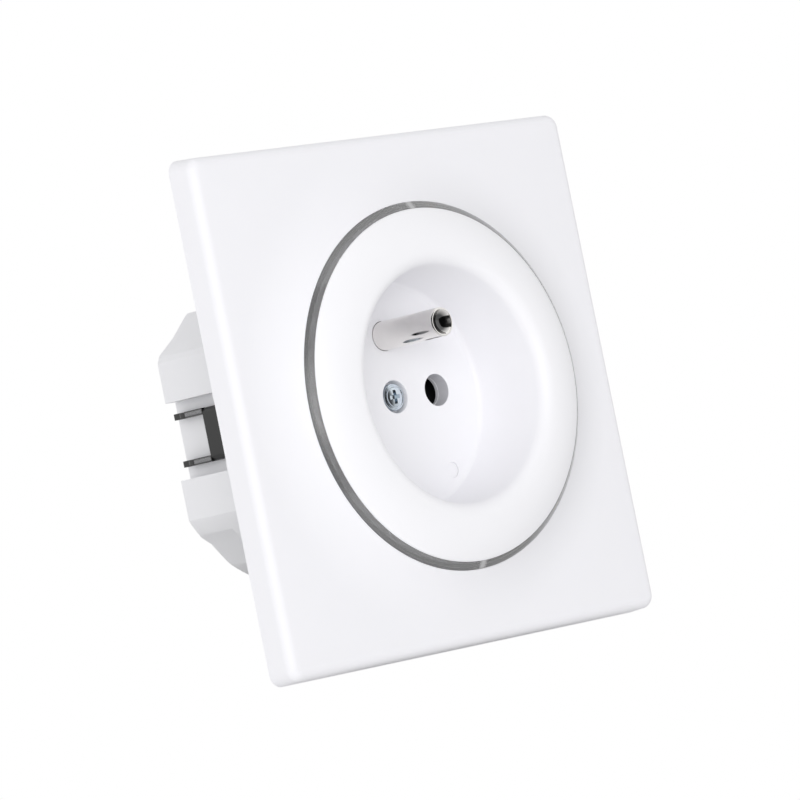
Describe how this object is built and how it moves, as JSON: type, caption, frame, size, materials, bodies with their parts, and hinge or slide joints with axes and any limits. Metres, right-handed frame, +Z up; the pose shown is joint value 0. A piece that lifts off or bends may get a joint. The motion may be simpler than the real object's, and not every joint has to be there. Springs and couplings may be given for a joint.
{
  "type": "wall socket with earth pin",
  "caption": "Flush wall socket with a square cover, a clear light ring, a round plug well with a male earth pin, and claws that grip the wall box.",
  "frame": {"origin": "middle of the socket on the wall plane, which is the back of the mounting plate and of the cover's edge", "axes": "+X to the right as seen from the room, +Y into the wall, +Z up; the plug well faces -Y"},
  "size_m": [0.084, 0.0442, 0.084],
  "materials": {
    "cover_white": "gloss white",
    "insert_white": "gloss white",
    "ring_clear": "clear, lightly frosted",
    "body_white": "matt white moulding",
    "shutter_dark": "matt black",
    "screw_zinc": "bright zinc plate",
    "pin_nickel": "nickel plate on brass, polished",
    "claw_steel": "stamped, dark oxide",
    "plate_steel": "zinc-plated sheet",
    "spring_steel": "drawn wire",
    "contact_brass": "bare brass sheet",
    "link_tin": "tinned",
    "board_green": "circuit board",
    "board_white": "circuit board with a white mask",
    "chip_white": "light chip with a yellow lens",
    "relay_dark": "moulded case",
    "capacitor_dark": "sleeved can"
  },
  "bodies": {
    "socket": {"cover_frame": "cover_white", "light_ring": "ring_clear", "socket_insert": "insert_white", "fixing_screw": "screw_zinc", "earth_pin": "pin_nickel", "housing_front": "body_white", "housing_rear": "body_white", "shutter_spring": "spring_steel", "contact_left": "contact_brass", "contact_right": "contact_brass", "earth_strap": "contact_brass", "terminal_line": "contact_brass", "terminal_earth": "contact_brass", "terminal_neutral": "contact_brass", "terminal_screws": "screw_zinc", "mounting_plate": "plate_steel", "plate_screws": "screw_zinc", "fixing_nut": "contact_brass", "claw_screws": "screw_zinc", "claw_nuts": "plate_steel", "claw_pins": "plate_steel", "light_board": "board_white", "light_chips": "chip_white", "link_pins": "link_tin", "power_board": "board_green", "relay": "relay_dark", "capacitor": "capacitor_dark", "housing_screws": "screw_zinc"},
    "claw_left": {"claw_left": "claw_steel"},
    "claw_right": {"claw_right": "claw_steel"},
    "shutter": {"shutter": "shutter_dark"}
  },
  "joints": [
    {"name": "claw_left_swing", "type": "hinge", "parent": "socket", "child": "claw_left", "pos_m": [-0.0171, 0.012, 0], "axis": [0, 0, 1], "range_deg": [0, 20]},
    {"name": "claw_right_swing", "type": "hinge", "parent": "socket", "child": "claw_right", "pos_m": [0.0171, 0.012, 0], "axis": [0, 0, -1], "range_deg": [0, 20]},
    {"name": "shutter_slide", "type": "slide", "parent": "socket", "child": "shutter", "axis": [0, 0, -1], "range_m": [0, 0.0063], "stiffness_N_per_m": 100, "springref_m": -0.003, "deforming": ["shutter_spring"]}
  ]
}
